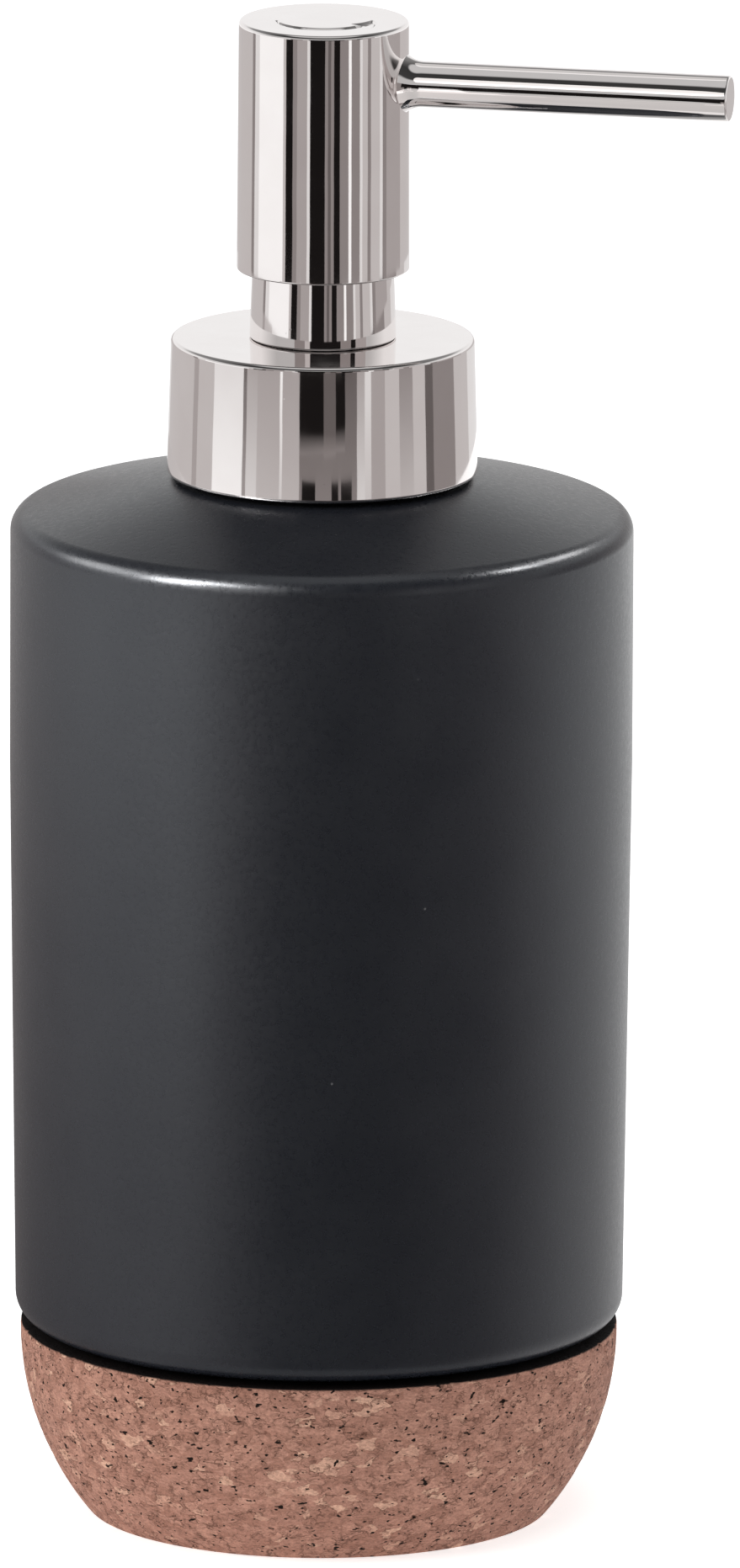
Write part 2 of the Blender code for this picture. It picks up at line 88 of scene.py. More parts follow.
# Chromed pieces
COLLAR_WALL = 0.0007
COLLAR_TAPER = 0.00045          # how much narrower the top is than the foot
CHIMNEY_FOOT = 0.0086
CHIMNEY_TOP_RADIUS = 0.0081
CHIMNEY_BORE = 0.0075
HEAD_WALL = 0.0008
HEAD_PLATE = 0.0010
HEAD_TAPER = 0.00015
MARK_RADIUS = 0.0056
MARK_DEPTH = 0.00028
MARK_WIDTH = 0.00060            # from the arc's middle line to its edges
SPOUT_RADIUS = 0.0027
SPOUT_SINK = 0.00012            # how far the spout's root stands inside the head's surface
SPOUT_EDGE = 0.00025            # radius of the end's rounded edge
FLARE_LENGTH = 0.0020
OUTLET_RADIUS = 0.0010
OUTLET_SETBACK = 0.0030         # from the spout's end to the outlet's axis

# Spring
SPRING_WIRE = 0.0004
SPRING_TURNS = 4                # between the closed turns at its ends

# Camera and studio
CAMERA_AZIMUTH = 12.0
CAMERA_ELEVATION = 13.0
CAMERA_ROLL = 0.25
CAMERA_DISTANCE = 3.68
CAMERA_LENS = 720.0
AIM_HEIGHT = 0.0868
AIM_RIGHT = 0.00575
CARD_DISTANCE = 0.150

# A ring of cards seen only in reflections. The walls mirror it from a little below their own height,
# so each height of the object has its own band of cards, as (bottom, top, mirroring wall's radius).
BOTTLE_RADIUS = 0.0365
COLLAR_BAND = (0.0980, 0.1195, 0.0180)
HEAD_BAND = (0.1195, 0.1520, 0.0100)
PLATE_BAND = (0.1520, 0.1860, 0.0083)
# Tones of the cards, from a black flag to a lit white one.
FLAG = 0.01
SHADE = 0.14
DIM = 0.28
MID = 0.42
SOFT = 0.58
PALE = 0.80
WHITE = 1.05
# (from, to, tone), or one tone at the bottom and another at the top. The azimuths are those in which
# the wall mirrors the card's edges.
HEAD_CARDS = [
    (-180, -170, PALE), (-170, -112, SOFT), (-112, -106, DIM), (-106, -97, PALE), (-97, -56, WHITE),
    (-56, -52, SOFT), (-52, -42, FLAG), (-42, -36, DIM), (-36, -22, MID), (-22, -18, PALE), (-18, 2, FLAG),
    (2, 6, DIM), (6, 10, SHADE), (10, 14, DIM), (14, 22, FLAG), (22, 34, DIM), (34, 38, WHITE),
    (38, 50, DIM), (50, 54, PALE), (54, 62, SOFT), (62, 67, DIM), (67, 82, SOFT), (82, 87, PALE),
    (87, 94, DIM), (94, 126, MID), (126, 164, SOFT), (164, 180, PALE),
]
COLLAR_CARDS = [
    (-180, -164, PALE), (-164, -114, SOFT), (-114, -108, MID), (-108, -90, SOFT), (-90, -62, WHITE, PALE),
    (-62, -59, MID, SHADE), (-59, -50, PALE, MID), (-50, -32, SOFT, MID), (-32, -30, SOFT, WHITE),
    (-30, -17, SOFT, MID), (-17, 26, DIM, SHADE), (26, 32, PALE, MID), (32, 37, SOFT, PALE), (37, 48, MID),
    (48, 60, SOFT), (60, 72, SOFT, DIM), (72, 84, SOFT), (84, 92, SHADE), (92, 118, DIM), (118, 142, SOFT),
    (142, 180, PALE),
]
PLATE_CARDS = [
    (-45, -28, DIM), (-28, -20, SOFT), (-20, 28, FLAG), (28, 45, DIM), (45, 53, FLAG), (53, 72, MID),
]
# Cards in front of the collar's: (from, to, bottom, top, tone at the bottom, at the top).
BLOCKS = [
    (-17, 1, 0.1090, 0.1120, DIM, FLAG), (-17, 1, 0.1120, 0.1195, FLAG, FLAG),
    (1, 10, 0.1085, 0.1120, DIM, SHADE), (1, 10, 0.1120, 0.1195, SHADE, SHADE),
    (10, 17, 0.1090, 0.1130, DIM, FLAG), (10, 17, 0.1130, 0.1195, FLAG, FLAG),
    (-15, -5, 0.0980, 0.1056, FLAG, FLAG), (7, 12, 0.0980, 0.1056, FLAG, FLAG),
    (14, 22, 0.0980, 0.1056, FLAG, FLAG),
]
# Seen by the bottle and the cork: (azimuth, brightness), blended between.
BOTTLE_CARDS = [
    (-180, 0.45), (-140, 0.50), (-115, 0.70), (-95, 1.00), (-50, 1.10), (-38, 0.60), (-20, 0.10),
    (-8, 0.05), (10, 0.04), (30, 0.09), (48, 0.13), (65, 0.20), (85, 0.52), (105, 0.80), (150, 0.90),
    (180, 1.00),
]
# (height, share of that brightness on the left, on the right)
BOTTLE_ROWS = [
    (-0.150, 0.40, 0.85), (0.000, 0.48, 0.90), (0.049, 0.72, 0.98), (0.087, 1.12, 1.22),
    (0.098, 1.20, 1.30),
]


def write_mesh(name, points, faces, smooth_angle=SMOOTH_ANGLE):
    mesh = bpy.data.meshes.new(name)
    mesh.from_pydata(points, [], faces)
    mesh.validate()
    mesh.shade_smooth()
    mesh.set_sharp_from_angle(angle=math.radians(smooth_angle))
    obj = bpy.data.objects.new(name, mesh)
    bpy.context.scene.collection.objects.link(obj)
    return obj


def soften(corners, steps=6):
    """A closed outline of (r, z, fillet) corners, with each fillet drawn as an arc.

    A point just outside each arc keeps the straight stretches' shading straight.
    """
    outline = []
    count = len(corners)
    for index, (radius, height, fillet) in enumerate(corners):
        here = Vector((radius, height))
        if fillet == 0:
            outline.append(here)
            continue
        back = (Vector(corners[index - 1][:2]) - here).normalized()
        ahead = (Vector(corners[(index + 1) % count][:2]) - here).normalized()
        half = back.angle(ahead) / 2
        centre = here + (back + ahead).normalized() * fillet / math.sin(half)
        reach = fillet / math.tan(half)
        start = here + back * reach - centre
        end = here + ahead * reach - centre
        outline.append(here + back * (reach + GUARD))
        for step in range(steps + 1):
            outline.append(centre + start.slerp(end, step / steps).normalized() * fillet)
        outline.append(here + ahead * (reach + GUARD))
    return outline


def lathe(name, outline, segments=ROUND, smooth_angle=SMOOTH_ANGLE):
    """A closed (r, z) outline turned about Z. A point on the axis becomes one vertex."""
    points, rings = [], []
    for radius, height in outline:
        if radius < 1e-7:
            rings.append([len(points)] * segments)
            points.append((0.0, 0.0, height))
            continue
        rings.append(list(range(len(points), len(points) + segments)))
        for step in range(segments):
            angle = 2 * math.pi * step / segments
            points.append((radius * math.cos(angle), radius * math.sin(angle), height))
    faces = []
    for ring, below in zip(rings, rings[1:] + rings[:1]):
        for step in range(segments):
            turn = (step + 1) % segments
            corners = list(dict.fromkeys((ring[step], below[step], below[turn], ring[turn])))
            if len(corners) > 2:
                faces.append(corners)
    return write_mesh(name, points, faces, smooth_angle)


def sweep(points, radius, sides=12):
    """(points, faces) of a round wire along a line of points, with flat ends."""
    line = [Vector(point) for point in points]
    corners, faces = [], []
    for index, here in enumerate(line):
        along = (line[min(index + 1, len(line) - 1)] - line[max(index - 1, 0)]).normalized()
        out = Vector((here.x, here.y, 0)).normalized()
        up = along.cross(out).normalized()
        out = up.cross(along)
        for side in range(sides):
            angle = 2 * math.pi * side / sides
            corners.append(here + (out * math.cos(angle) + up * math.sin(angle)) * radius)
    for index in range(len(line) - 1):
        for side in range(sides):
            a, b = index * sides + side, index * sides + (side + 1) % sides
            faces.append((a, b, b + sides, a + sides))
    faces.append(tuple(reversed(range(sides))))
    faces.append(tuple(range(len(corners) - sides, len(corners))))
    return corners, faces


def helix(radius, bottom, top, turns, per_turn=48):
    count = int(turns * per_turn)
    for step in range(count + 1):
        angle = 2 * math.pi * turns * step / count
        height = bottom + (top - bottom) * step / count
        yield (radius * math.cos(angle), radius * math.sin(angle), height)


# Materials

def new_material(name, colour, roughness, metallic=0.0):
    """A Principled material, its tree and its shader, with object coordinates ready to use."""
    material = bpy.data.materials.new(name)
    material.use_nodes = True
    tree = material.node_tree
    shader = tree.nodes["Principled BSDF"]
    shader.inputs["Base Color"].default_value = (*colour, 1)
    shader.inputs["Roughness"].default_value = roughness
    shader.inputs["Metallic"].default_value = metallic
    place = tree.nodes.new("ShaderNodeTexCoord").outputs["Object"]
    return material, tree, shader, place


def add(tree, kind, links=(), **settings):
    """A node with its settings, and its named inputs linked to sockets or set to values."""
    node = tree.nodes.new(kind)
    for key, value in settings.items():
        setattr(node, key, value)
    for key, value in dict(links).items():
        if isinstance(value, bpy.types.NodeSocket):
            tree.links.new(value, node.inputs[key])
        else:
            node.inputs[key].default_value = value
    return node


def noise_of(tree, place, scale, detail=3.0, rough=0.55):
    links = {"Vector": place, "Scale": scale, "Detail": detail, "Roughness": rough}
    return add(tree, "ShaderNodeTexNoise", links).outputs["Fac"]


def ramp_of(tree, value, stops):
    """A colour ramp over value from (position, (r, g, b)) stops."""
    node = add(tree, "ShaderNodeValToRGB", {"Fac": value})
    elements = node.color_ramp.elements
    while len(elements) < len(stops):
        elements.new(0.5)
    for element, (position, colour) in zip(elements, stops):
        element.position = position
        element.color = (*colour, 1)
    return node.outputs["Color"]


def grey(level):
    return (level, level, level)


def range_of(tree, value, low, high, out_low, out_high):
    links = {"Value": value, "From Min": low, "From Max": high, "To Min": out_low, "To Max": out_high}
    return add(tree, "ShaderNodeMapRange", links).outputs["Result"]


def calculated(tree, operation, first, second=0.5):
    return add(tree, "ShaderNodeMath", {0: first, 1: second}, operation=operation).outputs[0]


def mixed(tree, factor, first, second, blend="MIX"):
    node = tree.nodes.new("ShaderNodeMix")
    node.data_type = "RGBA"
    node.blend_type = blend
    for socket, value in ((node.inputs[0], factor), (node.inputs[6], first), (node.inputs[7], second)):
        if isinstance(value, bpy.types.NodeSocket):
            tree.links.new(value, socket)
        elif isinstance(value, tuple):
            socket.default_value = (*value, 1)
        else:
            socket.default_value = value
    return node.outputs[2]


def bump(tree, shader, height, strength, distance):
    links = {"Height": height, "Strength": strength, "Distance": distance}
    node = add(tree, "ShaderNodeBump", links)
    tree.links.new(node.outputs["Normal"], shader.inputs["Normal"])


def stoneware_material():
    material, tree, shader, place = new_material("stoneware_glaze", (0.009, 0.010, 0.013), 0.28)
    shader.inputs["Specular IOR Level"].default_value = 0.65
    shader.inputs["Specular Tint"].default_value = (0.93, 0.96, 1.0, 1)
    clouds = noise_of(tree, place, 90, 4)
    grain = noise_of(tree, place, 1500, 3, 0.7)
    specks = add(tree, "ShaderNodeTexVoronoi", {"Vector": place, "Scale": 260.0})
    base = ramp_of(tree, clouds, [(0.3, (0.009, 0.0105, 0.015)), (0.7, (0.013, 0.0145, 0.019))])
    dots = range_of(tree, specks.outputs["Distance"], 0.0, 0.05, 1.0, 0.0)
    rare = range_of(tree, noise_of(tree, place, 300, 1), 0.62, 0.66, 0.0, 1.0)
    colour = mixed(tree, calculated(tree, "MULTIPLY", dots, rare), base, grey(0.13))
    tree.links.new(colour, shader.inputs["Base Color"])
    tree.links.new(range_of(tree, grain, 0.3, 0.7, 0.25, 0.33), shader.inputs["Roughness"])
    bump(tree, shader, grain, 0.10, 0.0002)
    return material


def cork_material():
    """Flat pressed granules with thin broken outlines, small pits and a few pale chips.

    The rim's top under the bottle is painted near black, as painted shade of the gap between cork and
    bottle.
    """
    material, tree, shader, place = new_material("pressed_cork", (0.39, 0.20, 0.145), 0.85)
    shader.inputs["Specular IOR Level"].default_value = 0.25
    flat = add(tree, "ShaderNodeMapping", {"Vector": place, "Scale": (1.0, 1.0, 1.8)}).outputs[0]
    wander = add(tree, "ShaderNodeTexNoise", {"Vector": flat, "Scale": 520.0, "Detail": 3.0})
    shifted = add(
        tree, "ShaderNodeVectorMath",
        {0: wander.outputs["Color"], 1: (0.0034, 0.0034, 0.0034), 2: flat},
        operation="MULTIPLY_ADD",
    ).outputs[0]
    cells = add(tree, "ShaderNodeTexVoronoi", {"Vector": shifted, "Scale": 560.0})
    edges = add(
        tree, "ShaderNodeTexVoronoi", {"Vector": shifted, "Scale": 560.0}, feature="DISTANCE_TO_EDGE",
    )
    tone = add(tree, "ShaderNodeSeparateColor", {"Color": cells.outputs["Color"]}).outputs[0]
    stops = [
        (0.0, (0.325, 0.160, 0.115)),
        (0.5, (0.385, 0.197, 0.145)),
        (0.9, (0.430, 0.225, 0.165)),
        (1.0, (0.580, 0.345, 0.250)),
    ]
    colour = ramp_of(tree, tone, stops)
    fine = noise_of(tree, flat, 2100, 4, 0.65)
    mottle = ramp_of(tree, fine, [(0.30, grey(0.68)), (0.68, grey(1.22))])
    colour = mixed(tree, 1.0, colour, mottle, "MULTIPLY")
    seam = range_of(tree, edges.outputs["Distance"], 0.0, 0.07, 1.0, 0.0)
    curl = calculated(tree, "SUBTRACT", noise_of(tree, shifted, 620, 2), 0.5)
    curl = range_of(tree, calculated(tree, "ABSOLUTE", curl), 0.0, 0.02, 1.0, 0.0)
    shown = range_of(tree, noise_of(tree, place, 700, 2), 0.44, 0.60, 0.0, 0.8)
    line = calculated(tree, "MULTIPLY", calculated(tree, "MAXIMUM", seam, curl), shown)
    colour = mixed(tree, line, colour, (0.120, 0.052, 0.034))
    # The pits stand for real pores, and their near-black colour is painted shade inside them.
    pits = range_of(tree, noise_of(tree, flat, 1150, 1), 0.665, 0.70, 0.0, 1.0)
    colour = mixed(tree, pits, colour, (0.012, 0.006, 0.004))
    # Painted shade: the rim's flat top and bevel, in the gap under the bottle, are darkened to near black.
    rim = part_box("cork_base")[1].z
    height = add(tree, "ShaderNodeSeparateXYZ", {0: place}).outputs["Z"]
    painted_gap_shade = range_of(tree, height, rim - 0.00035, rim - 0.00015, 0.0, 1.0)
    colour = mixed(tree, painted_gap_shade, colour, (0.006, 0.004, 0.004))
    tree.links.new(colour, shader.inputs["Base Color"])
    relief = calculated(tree, "SUBTRACT", fine, calculated(tree, "MAXIMUM", line, pits))
    bump(tree, shader, relief, 0.60, 0.0004)
    return material


def chrome_material():
    """Bright plating with faint waves and tiny pores, which unsettle the reflected edges."""
    material, tree, shader, place = new_material("bright_chrome", (0.86, 0.82, 0.81), 0.035, 1.0)
    smear = noise_of(tree, place, 160, 3)
    tree.links.new(range_of(tree, smear, 0.35, 0.75, 0.025, 0.06), shader.inputs["Roughness"])
    tint = ramp_of(tree, smear, [(0.3, (0.85, 0.81, 0.80)), (0.7, (0.88, 0.845, 0.835))])
    tree.links.new(tint, shader.inputs["Base Color"])
    waves = noise_of(tree, place, 110, 1)
    pores = add(tree, "ShaderNodeTexVoronoi", {"Vector": place, "Scale": 900.0}).outputs["Distance"]
    pore = range_of(tree, pores, 0.0, 0.10, 1.0, 0.0)
    rare = range_of(tree, noise_of(tree, place, 700, 1), 0.66, 0.70, 0.0, 0.15)
    relief = calculated(tree, "SUBTRACT", waves, calculated(tree, "MULTIPLY", pore, rare))
    bump(tree, shader, relief, 0.06, 0.0004)
    return material


def plastic_material(name, colour, roughness, clear=0.0):
    """Moulded plastic: a slight cloudiness and a fine spark-eroded grain."""
    material, tree, shader, place = new_material(name, colour, roughness)
    if clear:
        shader.inputs["Transmission Weight"].default_value = clear
    cloud = noise_of(tree, place, 120, 3)
    dim = tuple(channel * 0.88 for channel in colour)
    tree.links.new(ramp_of(tree, cloud, [(0.3, dim), (0.7, colour)]), shader.inputs["Base Color"])
    grain = noise_of(tree, place, 2600, 2)
    gloss = range_of(tree, grain, 0.3, 0.7, roughness - 0.05, roughness + 0.06)
    tree.links.new(gloss, shader.inputs["Roughness"])
    bump(tree, shader, grain, 0.12, 0.0001)
    return material


def steel_material():
    material, tree, shader, place = new_material("spring_wire", (0.56, 0.56, 0.57), 0.26, 1.0)
    drawn = add(tree, "ShaderNodeMapping", {"Vector": place, "Scale": (1.0, 1.0, 6.0)}).outputs[0]
    streaks = noise_of(tree, drawn, 900, 3)
    tree.links.new(range_of(tree, streaks, 0.3, 0.7, 0.18, 0.36), shader.inputs["Roughness"])
    tint = ramp_of(tree, streaks, [(0.3, (0.48, 0.48, 0.49)), (0.7, (0.60, 0.60, 0.61))])
    tree.links.new(tint, shader.inputs["Base Color"])
    return material


MATERIALS = {
    "cork": cork_material(),
    "stoneware": stoneware_material(),
    "chrome": chrome_material(),
    "black_plastic": plastic_material("black_moulding", (0.016, 0.016, 0.017), 0.42),
    "white_plastic": plastic_material("white_moulding", (0.78, 0.78, 0.75), 0.38),
    "clear_plastic": plastic_material("milky_moulding", (0.78, 0.80, 0.80), 0.30, 0.55),
    "rubber": plastic_material("seal_rubber", (0.26, 0.26, 0.27), 0.70),
    "steel": steel_material(),
    "adhesive": plastic_material("cured_glue", (0.78, 0.74, 0.62), 0.48),
}


def finish_piece(obj, slot, body, *nodes):
    """Give a piece its material, and let it ride on a body in place of CAD nodes."""
    obj.data.materials.clear()
    obj.data.materials.append(MATERIALS[slot])
    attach(obj, body)
    if nodes:
        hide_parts(*nodes)
    return obj


def dress_cad_nodes():
    """Every CAD node gets its slot's material. Those that fine pieces stand for are hidden later."""
    for part in frame["record"]["subparts"]:
        mesh = frame["nodes"][part["node"]].data
        mesh.materials.clear()
        mesh.materials.append(MATERIALS[part["material_slot"]])


# Cork and stoneware

def cork_radius(share, rim):
    """Outer radius at a share of the cork's height."""
    return rim - CORK_TUCK * (1 - (1 - (1 - share) ** 2.18) ** 0.96)


def roughen_cork(cork, recess, height):
    """Granule relief and open pores, cut into the outside."""
    for vertex in cork.data.vertices:
        place = vertex.co
        if place.z < 0.0002 or place.xy.length < recess + 0.0006:
            continue
        out = Vector((place.x, place.y, place.z - 0.6 * height)).normalized()
        lumps = noise.noise(place * 620) * 0.000035 + noise.noise(place * 1500) * 0.000030
        pore = max(0.0, noise.noise(place * 900 + Vector((3.1, 7.7, 1.3))) - 0.42)
        vertex.co = place + out * (min(lumps, 0.00004) - 0.00004 - pore * 0.0011)


def make_cork():
    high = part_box("cork_base")[1]
    glue_low, glue_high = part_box("glue_disc")
    rim, height = high.x, high.z
    recess, recess_bottom = glue_high.x + 2 * GAP, glue_low.z - GAP
    rim_steps, side_steps, floor_steps = 12, 110, 14
    outline = [(0.0, recess_bottom), (recess, recess_bottom), (recess, height)]
    for step in range(1, rim_steps + 1):
        outline.append((recess + (rim - CORK_EDGE - recess) * step / rim_steps, height))
    outline.append((rim - CORK_EDGE / 4, height - CORK_EDGE / 4))
    for step in range(1, side_steps + 1):
        share = 0.985 * (1 - step / side_steps) ** 1.45
        outline.append((cork_radius(share, rim), height * share))
    for step in range(1, floor_steps + 1):
        outline.append(((rim - CORK_TUCK) * (1 - step / floor_steps), 0.0))
    cork = lathe("cork_bowl", outline, 600, 60)
    roughen_cork(cork, recess, height)
    finish_piece(cork, "cork", "bottle", "cork_base")


def make_stoneware():
    low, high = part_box("ceramic_body")
    radius, foot_bottom, mouth = high.x, low.z, high.z
    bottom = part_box("cork_base")[1].z + BODY_GAP
    foot_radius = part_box("glue_disc")[1].x + GAP
    shoulder = mouth - (radius - MOUTH_LAND) * math.tan(math.radians(SHOULDER_SLOPE))
    inner, floor = radius - CERAMIC_WALL, foot_bottom + CERAMIC_WALL
    corners = [
        (MOUTH_BORE, mouth - CERAMIC_WALL, 0.0008),
        (MOUTH_BORE, mouth, 0.0004),
        (MOUTH_LAND, mouth, 0.0010),
        (radius, shoulder, 0.0024),
        (radius, BODY_WIDEST_Z, 0),
        (radius - BODY_TAPER, bottom, 0.0030),
        (foot_radius, bottom, 0),
        (foot_radius, foot_bottom, 0),
        (0.0, foot_bottom, 0),
        (0.0, floor, 0),
        (inner, floor, 0.0080),
        (inner, shoulder - CERAMIC_WALL, 0.0060),
    ]
    bottle = lathe("stoneware_bottle", soften(corners, 10), 256)
    return finish_piece(bottle, "stoneware", "bottle", "ceramic_body")


# Neck

def make_neck():
    low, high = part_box("neck_insert")
    flange_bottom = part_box("ceramic_body")[1].z + GAP
    flange_top = flange_bottom + NECK_FLANGE_THICKNESS
    corners = [
        (NECK_BORE, high.z, 0.0003),
        (NECK_BARREL, high.z, 0.0004),
        (NECK_BARREL, flange_top, 0.0003),
        (high.x, flange_top, 0.0003),
        (high.x, flange_bottom, 0.0002),
        (NECK_SLEEVE, flange_bottom, 0),
        (NECK_SLEEVE, low.z, 0.0003),
        (NECK_BORE, low.z, 0.0003),
    ]
    neck = lathe("neck_moulding", soften(corners, 4))
    finish_piece(neck, "black_plastic", "bottle", "neck_insert")
    start = flange_top + THREAD_RISE
    line = helix(NECK_BARREL + 0.00015, start, start + THREAD_TURNS * THREAD_PITCH, THREAD_TURNS)
    ridge = sweep(line, THREAD_RADIUS)
    finish_piece(write_mesh("neck_thread", *ridge, 60), "black_plastic", "bottle")


# Chromed pieces

def make_collar():
    low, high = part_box("collar_shell")
    top_radius = high.x - COLLAR_TAPER
    hole = CHIMNEY_FOOT - 0.0002
    corners = [
        (hole, high.z, 0.0001),
        (top_radius, high.z, 0.0005),
        (high.x, low.z, 0.0004),
        (high.x - COLLAR_WALL, low.z, 0.0002),
        (top_radius - COLLAR_WALL, high.z - COLLAR_WALL, 0.0003),
        (hole, high.z - COLLAR_WALL, 0),
    ]
    finish_piece(lathe("collar", soften(corners)), "chrome", "closure", "collar_shell")


def make_chimney():
    """The sleeve looks like a cup standing on the collar, with its foot's edge rounded."""
    low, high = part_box("chimney_sleeve")
    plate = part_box("collar_shell")[1].z + 0.00005
    corners = [
        (CHIMNEY_BORE, high.z, 0.0002),
        (CHIMNEY_TOP_RADIUS, high.z, 0.0002),
        (CHIMNEY_FOOT, plate, 0.00025),
        (CHIMNEY_FOOT - 0.0005, plate, 0),
        (CHIMNEY_FOOT - 0.0005, low.z, 0),
        (CHIMNEY_BORE, low.z, 0),
    ]
    finish_piece(lathe("chimney", soften(corners)), "chrome", "closure", "chimney_sleeve")


def turn_mark(x, y):
    """Depth, from 0 to 1, of the turning arrow sunk in the head's top: an arc and a plain arrowhead."""
    radius = math.hypot(x, y)
    angle = math.degrees(math.atan2(y, x)) + 90 - CAMERA_AZIMUTH
    angle = (angle + 180) % 360 - 180
    along = min(1.0, max(0.0, (angle + 85) / 60), max(0.0, (52 - angle) / 6))
    arc = 1 - abs(radius - MARK_RADIUS) / (MARK_WIDTH * along + 0.00001)
    head_share = (angle - 52) / 38
    head = 0.0
    if 0 <= head_share < 1:
        head = (0.0016 * (1 - head_share) - abs(radius - MARK_RADIUS)) / 0.0003
    return max(0.0, min(1.0, max(arc * 2.0, head)))


def make_head():
    low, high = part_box("head_shell")
    top_radius = high.x - HEAD_TAPER
    corners = [
        (top_radius, high.z, 0.00045),
        (high.x, low.z, 0.0002),
        (high.x - HEAD_WALL, low.z, 0.0001),
        (top_radius - HEAD_WALL, high.z - HEAD_PLATE, 0),
        (0.0, high.z - HEAD_PLATE, 0),
        (0.0, high.z, 0),
    ]
    outline = soften(corners)
    rings = 72
    flat = top_radius - 0.0006
    outline += [Vector((flat * step / rings, high.z)) for step in range(1, rings + 1)]
    head = lathe("pump_head", outline, 288)
    for vertex in head.data.vertices:
        if vertex.co.z > high.z - 0.00001:
            vertex.co.z -= MARK_DEPTH * turn_mark(vertex.co.x, vertex.co.y)
    finish_piece(head, "chrome", "head", "head_shell")


def drill(obj, place, radius, depth):
    """A round blind hole up into a piece, centred on a place."""
    work = bmesh.new()
    bmesh.ops.create_cone(
        work, cap_ends=True, segments=48, radius1=radius, radius2=radius, depth=depth,
        matrix=Matrix.Translation(place),
    )
    cutter = bpy.data.objects.new("drill", bpy.data.meshes.new("drill"))
    work.to_mesh(cutter.data)
    work.free()
    bpy.context.scene.collection.objects.link(cutter)
    modifier = obj.modifiers.new("hole", "BOOLEAN")
    modifier.operation = "DIFFERENCE"
    modifier.solver = "EXACT"
    modifier.object = cutter
    depsgraph = bpy.context.evaluated_depsgraph_get()
    obj.data = bpy.data.meshes.new_from_object(obj.evaluated_get(depsgraph))
    obj.modifiers.clear()
    obj.data.set_sharp_from_angle(angle=math.radians(SMOOTH_ANGLE))
    bpy.data.objects.remove(cutter)


def spout_profile(reach, flare):
    """(distance along, radius) points from the trumpet at the root to the middle of the flat end."""
    flare_steps, straight_steps, edge_steps = 10, 12, 6
    straight = reach - SPOUT_EDGE
    profile = []
    for step in range(flare_steps + 1):
        share = 1 - step / flare_steps
        profile.append((FLARE_LENGTH * (1 - share), SPOUT_RADIUS + (flare - SPOUT_RADIUS) * share ** 2.4))
    profile.append((FLARE_LENGTH + 0.0001, SPOUT_RADIUS))
    for step in range(1, straight_steps + 1):
        profile.append((FLARE_LENGTH + (straight - FLARE_LENGTH) * step / straight_steps, SPOUT_RADIUS))
    for step in range(1, edge_steps + 1):
        turn = math.pi / 2 * step / edge_steps
        inset = SPOUT_EDGE * (1 - math.cos(turn))
        profile.append((straight + SPOUT_EDGE * math.sin(turn), SPOUT_RADIUS - inset))
    profile.append((reach, SPOUT_RADIUS - SPOUT_EDGE - 0.00005))
    profile += [(reach, SPOUT_RADIUS * 0.5), (reach, 0.0)]
    return profile


def settled_rings(profile, wall, axis, sides):
    """Points of rings along the spout. Those of the trumpet bend round to lie on the head's wall."""
    points = []
    for along, radius in profile:
        for side in range(sides):
            turn = 2 * math.pi * side / sides
            y, z = radius * math.cos(turn), radius * math.sin(turn)
            root = math.sqrt(wall ** 2 - y ** 2)
            settle = max(0.0, 1 - along / FLARE_LENGTH)
            points.append((wall + along + (root - wall) * settle, y, axis + z))
    return points


def make_spout():
    """A closed tube with the outlet under its tip, spread into a trumpet where it meets the round head."""
    low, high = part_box("nozzle_tube")
    axis = (low.z + high.z) / 2
    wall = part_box("head_shell")[1].x - SPOUT_SINK
    profile = spout_profile(high.x - wall, high.y)
    sides = 96
    points = settled_rings(profile, wall, axis, sides)
    faces = []
    for ring in range(len(profile) - 1):
        for side in range(sides):
            a, b = ring * sides + side, ring * sides + (side + 1) % sides
            faces.append((a, b, b + sides, a + sides))
    faces.append(tuple(reversed(range(sides))))
    spout = write_mesh("spout", points, faces)
    work = bmesh.new()
    work.from_mesh(spout.data)
    bmesh.ops.remove_doubles(work, verts=work.verts, dist=0.000001)
    bmesh.ops.recalc_face_normals(work, faces=work.faces)
    work.to_mesh(spout.data)
    work.free()
    drill(spout, (high.x - OUTLET_SETBACK, 0, axis - 0.0024), OUTLET_RADIUS, 0.0038)
    return finish_piece(spout, "chrome", "head", "nozzle_tube")


def make_spring():
    """A coil whose end turns lie closed."""
    low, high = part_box("return_spring")
    radius = high.x - SPRING_WIRE
    bottom, top = low.z + SPRING_WIRE, high.z - SPRING_WIRE
    first = list(helix(radius, bottom, bottom + 2 * SPRING_WIRE, 1))
    rise = list(helix(radius, bottom + 2 * SPRING_WIRE, top - 2 * SPRING_WIRE, SPRING_TURNS))
    last = list(helix(radius, top - 2 * SPRING_WIRE, top, 1))
    spring = write_mesh("spring_coil", *sweep(first + rise[1:] + last[1:], SPRING_WIRE), 60)
    finish_piece(spring, "steel", "pump_unit", "return_spring")
    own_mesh(spring)


# Studio

def facing(azimuth, elevation=0.0):
    """Unit vector from the object towards an azimuth counted from the camera."""
    turn, lift = math.radians(CAMERA_AZIMUTH + azimuth), math.radians(elevation)
    return Vector((math.sin(turn) * math.cos(lift), -math.cos(turn) * math.cos(lift), math.sin(lift)))


def emission_material(name):
    """Emission coloured by the mesh's own glow attribute."""
    material = bpy.data.materials.new(name)
    material.use_nodes = True
    tree = material.node_tree
    tree.nodes.clear()
    glow = add(tree, "ShaderNodeAttribute", attribute_name="glow").outputs["Color"]
    lamp = add(tree, "ShaderNodeEmission", {"Color": glow, "Strength": 1.0})
    end = tree.nodes.new("ShaderNodeOutputMaterial")
    tree.links.new(lamp.outputs[0], end.inputs["Surface"])
    return material


def card_glow(level):
    """Dim cards are warmer than bright ones."""
    warmth = max(0.0, 1 - level / 0.9)
    return (level, level * (1 - 0.14 * warmth), level * (1 - 0.16 * warmth), 1.0)


def blended(stops, value):
    """Read a list of (position, level) stops, blending between neighbours."""
    for (start, first), (end, second) in zip(stops, stops[1:]):
        if value <= end:
            return first + (second - first) * (value - start) / (end - start)
    return stops[-1][1]


